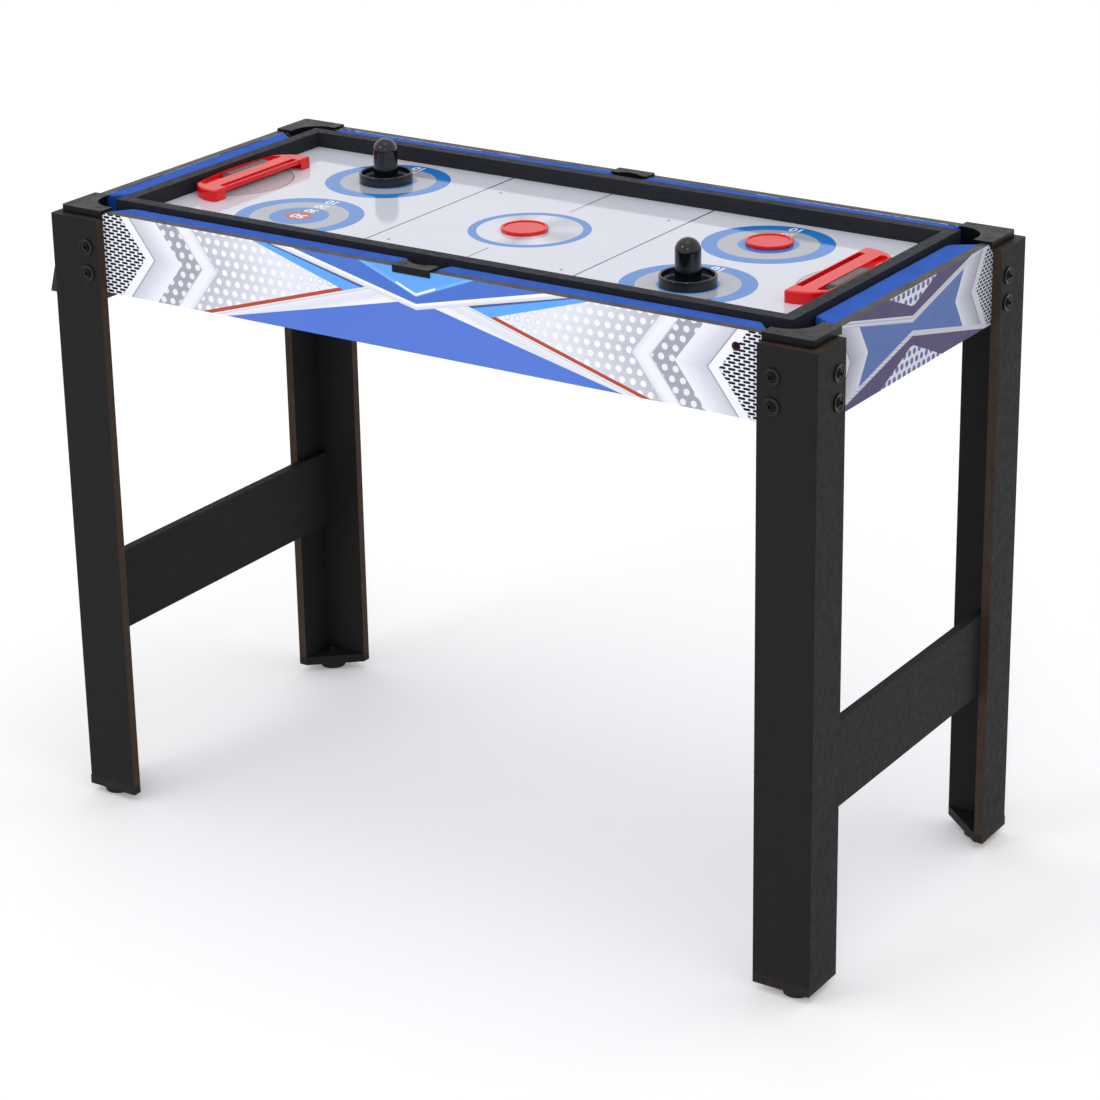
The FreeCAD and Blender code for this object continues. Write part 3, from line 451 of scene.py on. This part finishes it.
def hockey_surface():
    """Gloss white board with targets, centre ring, lines, goal creases and spots. The grey disc inside each
    crease line is a painted reflection of the goal's bar.
    """
    paint = Paint("hockey_surface", srgb(214, 216, 228), 0.07)
    x = paint.size(paint.x)
    y = paint.size(paint.y)
    blue = srgb(37, 121, 204)
    paint.coat = paint.mix(paint.noise(9.0, 2.0), srgb(208, 211, 224), srgb(216, 218, 229))

    crease = paint.distance(paint.less(x, CREASE_X), y)
    # a grey disc that is a painted reflection of the goal's bar, inside the dark printed crease line
    paint.rings(crease, CREASE_REFLECTION_AND_LINE_RADII, (srgb(188, 188, 196), srgb(120, 100, 104)))

    target = paint.distance(paint.less(x, TARGET_X), paint.less(y, TARGET_Y))
    paint.rings(target, TARGET_RADII, (srgb(168, 70, 62), blue, srgb(167, 171, 181), blue))

    middle = paint.distance(x, y)
    sweep = paint.add("ShaderNodeTexGradient", paint.position, gradient_type="RADIAL").outputs[0]
    paint.lay(paint.under(middle, CENTRE_RING_RADIUS), blue)
    paint.lay(paint.under(middle, CENTRE_DISC_RADIUS), paint.ramp(sweep, [
        (0.0, cool(214)), (0.21, cool(213)), (0.29, cool(178)), (0.37, cool(218)),
        (0.46, cool(178)), (0.5, cool(180)), (0.58, cool(202)), (0.71, cool(180)),
        (0.79, cool(217)), (0.875, cool(178)), (0.94, cool(206)), (1.0, cool(214))]))

    off_line = paint.size(paint.less(x, CROSS_LINE_X))
    paint.lay(paint.under(off_line, CROSS_LINE_HALF), srgb(62, 78, 118))
    centre_line = paint.both(paint.under(x, CENTRE_LINE_HALF), paint.over(y, CENTRE_LINE_Y))
    paint.lay(centre_line, srgb(128, 116, 112))
    spot = paint.distance(paint.less(x, SPOT_X), paint.less(y, SPOT_Y))
    paint.lay(paint.under(spot, SPOT_RADIUS), srgb(104, 88, 82))
    paint.color(paint.coat)
    paint.rough(0.05, 0.1, 14.0)
    paint.bump(paint.noise(12.0, 2.0), 0.0004, 0.05)
    return paint.material


def felt():
    """Short blue felt: fine fibres, a little lint and a soft sheen."""
    paint = Paint("blue_felt", srgb(20, 76, 176), 0.95, Sheen_Weight=0.08, Sheen_Roughness=0.5,
                  Specular_IOR_Level=0.15)
    fibres = paint.spread(paint.noise(2400.0, 3.0), 0.3, 0.7)
    patches = paint.spread(paint.noise(35.0, 4.0), 0.3, 0.7)
    deep = paint.mix(patches, srgb(12, 68, 168), srgb(22, 83, 186))
    paint.color(paint.mix(paint.math("MULTIPLY", fibres, 0.4), deep, srgb(38, 104, 202)))
    paint.bump(paint.noise(1800.0, 4.0), 0.0004, 0.5)
    return paint.material


def moulded(name, tone, pale, low, high, grain=900.0, depth=0.0001, strength=0.2, **sockets):
    """Moulded plastic: a little mottling, uneven gloss and a fine grain."""
    paint = Paint(name, tone, low, **sockets)
    wear(paint, tone, pale, 80.0, 0.35)
    paint.rough(low, high, 55.0)
    paint.bump(paint.noise(grain, 3.0), depth, strength)
    return paint.material


def metal(name, tone, low, high):
    """Plated metal with faint blotches."""
    paint = Paint(name, tone, low, Metallic=1.0)
    wear(paint, tone, tuple(part * 0.7 for part in tone[:3]) + (1.0,), 260.0, 0.5)
    paint.rough(low, high, 400.0)
    return paint.material


def dark_rail():
    """Dark satin film on the tray's rails."""
    paint = Paint("tray_rail_film", srgb(40, 42, 48), 0.45, Specular_IOR_Level=0.07)
    grain = paint.spread(paint.noise(60.0, 5.0, (1.0, 1.0, 6.0)), 0.3, 0.7)
    paint.color(paint.mix(grain, srgb(36, 38, 44), srgb(45, 46, 51)))
    paint.rough(0.42, 0.58, 150.0)
    paint.bump(paint.noise(1100.0, 3.0), 0.0002, 0.3)
    return paint.material


def slider_plastic():
    """Grey plastic with darker grips on the sloping ends."""
    paint = Paint("slider_plastic", srgb(68, 72, 78), 0.35, Specular_IOR_Level=0.4)
    lean = paint.math("MULTIPLY", paint.math("SIGN", paint.x), SLIDER_LEAN)
    grip = paint.over(paint.size(paint.math("ADD", paint.y, lean)), SLIDER_GRIP)
    body = paint.mix(paint.noise(90.0, 3.0), srgb(64, 68, 74), srgb(74, 77, 83))
    paint.color(paint.mix(grip, body, srgb(34, 38, 42)))
    paint.rough(0.3, 0.4, 55.0)
    paint.bump(paint.noise(900.0, 3.0), 0.0001, 0.15)
    return paint.material


def paint_nodes():
    """Every CAD node gets its material. The felt is returned for the cushions' new pieces."""
    side_board = black_film("leg_side_film", "XZ")
    end_board = black_film("leg_end_film", "YZ")
    stretcher = black_film("stretcher_film", "Y")
    plate = black_film("foot_plate_film", "XY", srgb(42, 38, 35))
    raw = fibreboard()
    long_apron = long_print()
    short_apron = short_print()
    blue = felt()
    cap = moulded("cap_plastic", srgb(16, 17, 19), srgb(24, 25, 28), 0.3, 0.42, Specular_IOR_Level=0.12)
    trough = moulded("runner_plastic", srgb(22, 22, 23), srgb(30, 30, 32), 0.4, 0.55, Specular_IOR_Level=0.3)
    foot = moulded("foot_plastic", srgb(20, 20, 21), srgb(28, 28, 30), 0.5, 0.65, Specular_IOR_Level=0.3)
    red = moulded("red_plastic", srgb(222, 6, 12), srgb(229, 10, 17), 0.16, 0.24, 300.0, 0.0001, 0.08,
                  Specular_IOR_Level=0.4)
    bar = slider_plastic()
    gloss = moulded("pusher_plastic", srgb(14, 15, 20), srgb(20, 21, 27), 0.08, 0.13, 300.0, 0.0001, 0.05)
    zinc = metal("zinc_steel", srgb(178, 178, 182), 0.28, 0.42)
    black_steel = moulded("black_steel", srgb(4, 4, 5), srgb(7, 7, 8), 0.08, 0.14, Specular_IOR_Level=0.12)
    washer = moulded("black_washer", srgb(15, 15, 16), srgb(22, 22, 22), 0.22, 0.32, Specular_IOR_Level=0.3)
    rail = dark_rail()
    top = hockey_surface()
    beech = moulded("dowel_beech", srgb(186, 150, 106), srgb(204, 170, 126), 0.6, 0.75)

    coats = {
        "apron_front": long_apron, "apron_back": long_apron,
        "apron_left": short_apron, "apron_right": short_apron,
        "playing_bed": blue, "bed_battens": raw, "tray_battens": raw,
        "side_runners": trough, "cross_runner": trough, "ball_return_box": trough,
        "side_cap_front": cap, "side_cap_back": cap, "cap_screws": black_steel,
        "ball_box_screws": zinc, "foot_plate_screws": zinc, "leg_nuts": zinc,
        "leg_bolts": black_steel, "leg_washers": washer,
        "stretcher_left": stretcher, "stretcher_right": stretcher, "stretcher_dowels": beech,
        "hockey_board": top,
        "goal_left": red, "goal_right": red, "puck_centre": red, "puck_right": red,
        "score_slider_left": bar, "score_slider_right": bar,
        "pusher_left": gloss, "pusher_right": gloss,
    }
    for side in ("front", "back", "left", "right"):
        coats["tray_rail_" + side] = rail
    for quadrant in QUADRANTS:
        coats["corner_cap_" + quadrant] = cap
        coats["leg_side_board_" + quadrant] = side_board
        coats["leg_end_board_" + quadrant] = end_board
        coats["foot_plate_" + quadrant] = plate
        coats["levelling_foot_" + quadrant] = foot
    for name, material in coats.items():
        node = nodes[name]
        if node.material_slots:
            for slot in node.material_slots:
                slot.material = material
        else:
            node.data.materials.append(material)
    return blue


# ---- new pieces ---------------------------------------------------------------------
def mesh_object(name, mesh, material, body):
    """A new piece that moves with a body."""
    piece = bpy.data.objects.new(name, mesh)
    bpy.context.scene.collection.objects.link(piece)
    mesh.materials.append(material)
    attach(piece, body)
    return piece


def cushion(name, material):
    """A felt-covered cushion lofted along its rail: flat top, rounded nose, undercut face."""
    low, high = (Vector(corner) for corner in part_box(name))
    centre = (low + high) / 2
    along, across = (0, 1) if high.x - low.x > high.y - low.y else (1, 0)
    out = math.copysign(1.0, centre[across])
    depth = high[across] - low[across]
    wall = high[across] if out > 0 else low[across]
    near = far = CORNER_JAW
    if along == 0 and low.x > 0:
        near = SIDE_JAW
    elif along == 0:
        far = SIDE_JAW
    height = high.z - low.z
    mesh = bpy.data.meshes.new(name + "_felt")
    form = bmesh.new()
    rings = []
    for station in CUSHION_STATIONS:
        pinch = CUSHION_PINCH if station in (0.0, 1.0) else 0.0
        ring = []
        for reach, rise in CUSHION_OUTLINE:
            start = low[along] + near * reach
            end = high[along] - far * reach
            place = Vector((0.0, 0.0, low.z + height * rise))
            place[along] = start + (end - start) * station
            place[across] = wall - out * max(0.0, depth * reach - pinch * (reach > 0.5))
            place.z -= pinch * (rise > 0.5)
            ring.append(form.verts.new(place))
        rings.append(ring)
    for first, second in zip(rings, rings[1:]):
        for step in range(len(CUSHION_OUTLINE)):
            other = (step + 1) % len(CUSHION_OUTLINE)
            form.faces.new((first[step], first[other], second[other], second[step]))
    form.faces.new(rings[0])
    form.faces.new(list(reversed(rings[-1])))
    bmesh.ops.recalc_face_normals(form, faces=form.faces)
    for face in form.faces:
        face.smooth = True
    form.to_mesh(mesh)
    form.free()
    piece = mesh_object(name + "_felt", mesh, material, "table")
    soften = piece.modifiers.new("soften", "BEVEL")
    soften.width = 1.2 * MM
    soften.segments = 3
    soften.limit_method = "ANGLE"
    soften.angle_limit = math.radians(40)
    piece.modifiers.new("shade", "WEIGHTED_NORMAL")
    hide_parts(name)


def numeral(text, x, y, size, material):
    """A score figure printed on the board, read from the far side. x, y and size are in mm."""
    curve = bpy.data.curves.new("numeral", "FONT")
    curve.body = text
    curve.size = size * MM
    curve.align_x = "CENTER"
    curve.align_y = "CENTER"
    curve.offset = FIGURE_BOLDNESS * MM
    curve.space_character = 0.95
    source = bpy.data.objects.new("numeral_source", curve)
    bpy.context.scene.collection.objects.link(source)
    bpy.context.view_layer.update()
    mesh = bpy.data.meshes.new_from_object(source)
    bpy.data.objects.remove(source)
    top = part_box("hockey_board")[1][2] + FIGURE_RISE * MM
    mesh.transform(Matrix.Translation((x * MM, y * MM, top)) @ Matrix.Rotation(math.pi, 4, "Z"))
    name = "score_%s_%d_%d" % (text, round(x), round(y))
    mesh_object(name.replace("-", "m"), mesh, material, "hockey_tray")


def score_figures():
    """The plain numbers on the four targets."""
    white = moulded("figure_white", srgb(232, 233, 240), srgb(238, 239, 245), 0.07, 0.12)
    for sign_x in (-1, 1):
        for sign_y in (-1, 1):
            for text, (away, size) in FIGURES.items():
                numeral(text, sign_x * TARGET_X, sign_y * TARGET_Y + away, size, white)


# ---- studio -------------------------------------------------------------------------
def floor():
    """A wide pale floor just under the feet."""
    mesh = bpy.data.meshes.new("studio_floor")
    form = bmesh.new()
    bmesh.ops.create_grid(form, x_segments=1, y_segments=1, size=FLOOR_HALF)
    form.to_mesh(mesh)
    form.free()
    paint = Paint("studio_floor", srgb(246, 246, 247), 0.75)
    paint.color(paint.mix(paint.noise(0.6, 2.0), srgb(245, 245, 246), srgb(248, 248, 249)))
    paint.shader.inputs["Emission Color"].default_value = (1.0, 1.0, 1.0, 1.0)
    paint.shader.inputs["Emission Strength"].default_value = 0.14
    mesh.materials.append(paint.material)
    piece = bpy.data.objects.new("studio_floor", mesh)
    bpy.context.scene.collection.objects.link(piece)
    piece.location.z = -FLOOR_DROP


def area_light(name, place, target, size, power):
    """A square soft lamp that faces its target."""
    data = bpy.data.lights.new(name, "AREA")
    data.shape = "SQUARE"
    data.size = size
    data.energy = power
    lamp = bpy.data.objects.new(name, data)
    lamp.location = place
    lamp.rotation_euler = (Vector(target) - Vector(place)).to_track_quat("-Z", "Y").to_euler()
    bpy.context.scene.collection.objects.link(lamp)


def studio():
    """White surroundings, the floor and three soft lamps."""
    world = bpy.data.worlds.new("studio")
    world.use_nodes = True
    background = world.node_tree.nodes["Background"]
    background.inputs["Color"].default_value = (1.0, 1.0, 1.0, 1.0)
    background.inputs["Strength"].default_value = 0.93
    bpy.context.scene.world = world
    bpy.context.scene.view_settings.view_transform = "Standard"
    floor()
    area_light("key_left", (-1.6, -3.2, 3.4), (0.0, 0.0, 0.6), 1.1, 15.0)
    area_light("key_front", (1.9, -3.2, 2.6), (0.0, 0.0, 0.6), 0.3, 7.0)
    area_light("overhead", (0.3, -0.3, 3.6), (0.0, 0.0, 0.8), 1.6, 7.0)


def camera():
    """The view of the photograph."""
    data = bpy.data.cameras.new("photo_view")
    data.sensor_width = 36.0
    data.lens = CAMERA_LENS
    data.shift_x, data.shift_y = CAMERA_SHIFT
    data.clip_end = 100.0
    viewer = bpy.data.objects.new("photo_view", data)
    viewer.location = CAMERA_PLACE
    turn = Matrix.Rotation(CAMERA_AZIMUTH, 4, "Z") @ Matrix.Rotation(CAMERA_TILT, 4, "X")
    turn = turn @ Matrix.Rotation(CAMERA_ROLL, 4, "Z")
    viewer.rotation_euler = turn.to_euler()
    bpy.context.scene.collection.objects.link(viewer)
    bpy.context.scene.camera = viewer


camera()
blue_felt = paint_nodes()
for place in QUADRANTS + ("left", "right"):
    cushion("cushion_" + place, blue_felt)
score_figures()
studio()
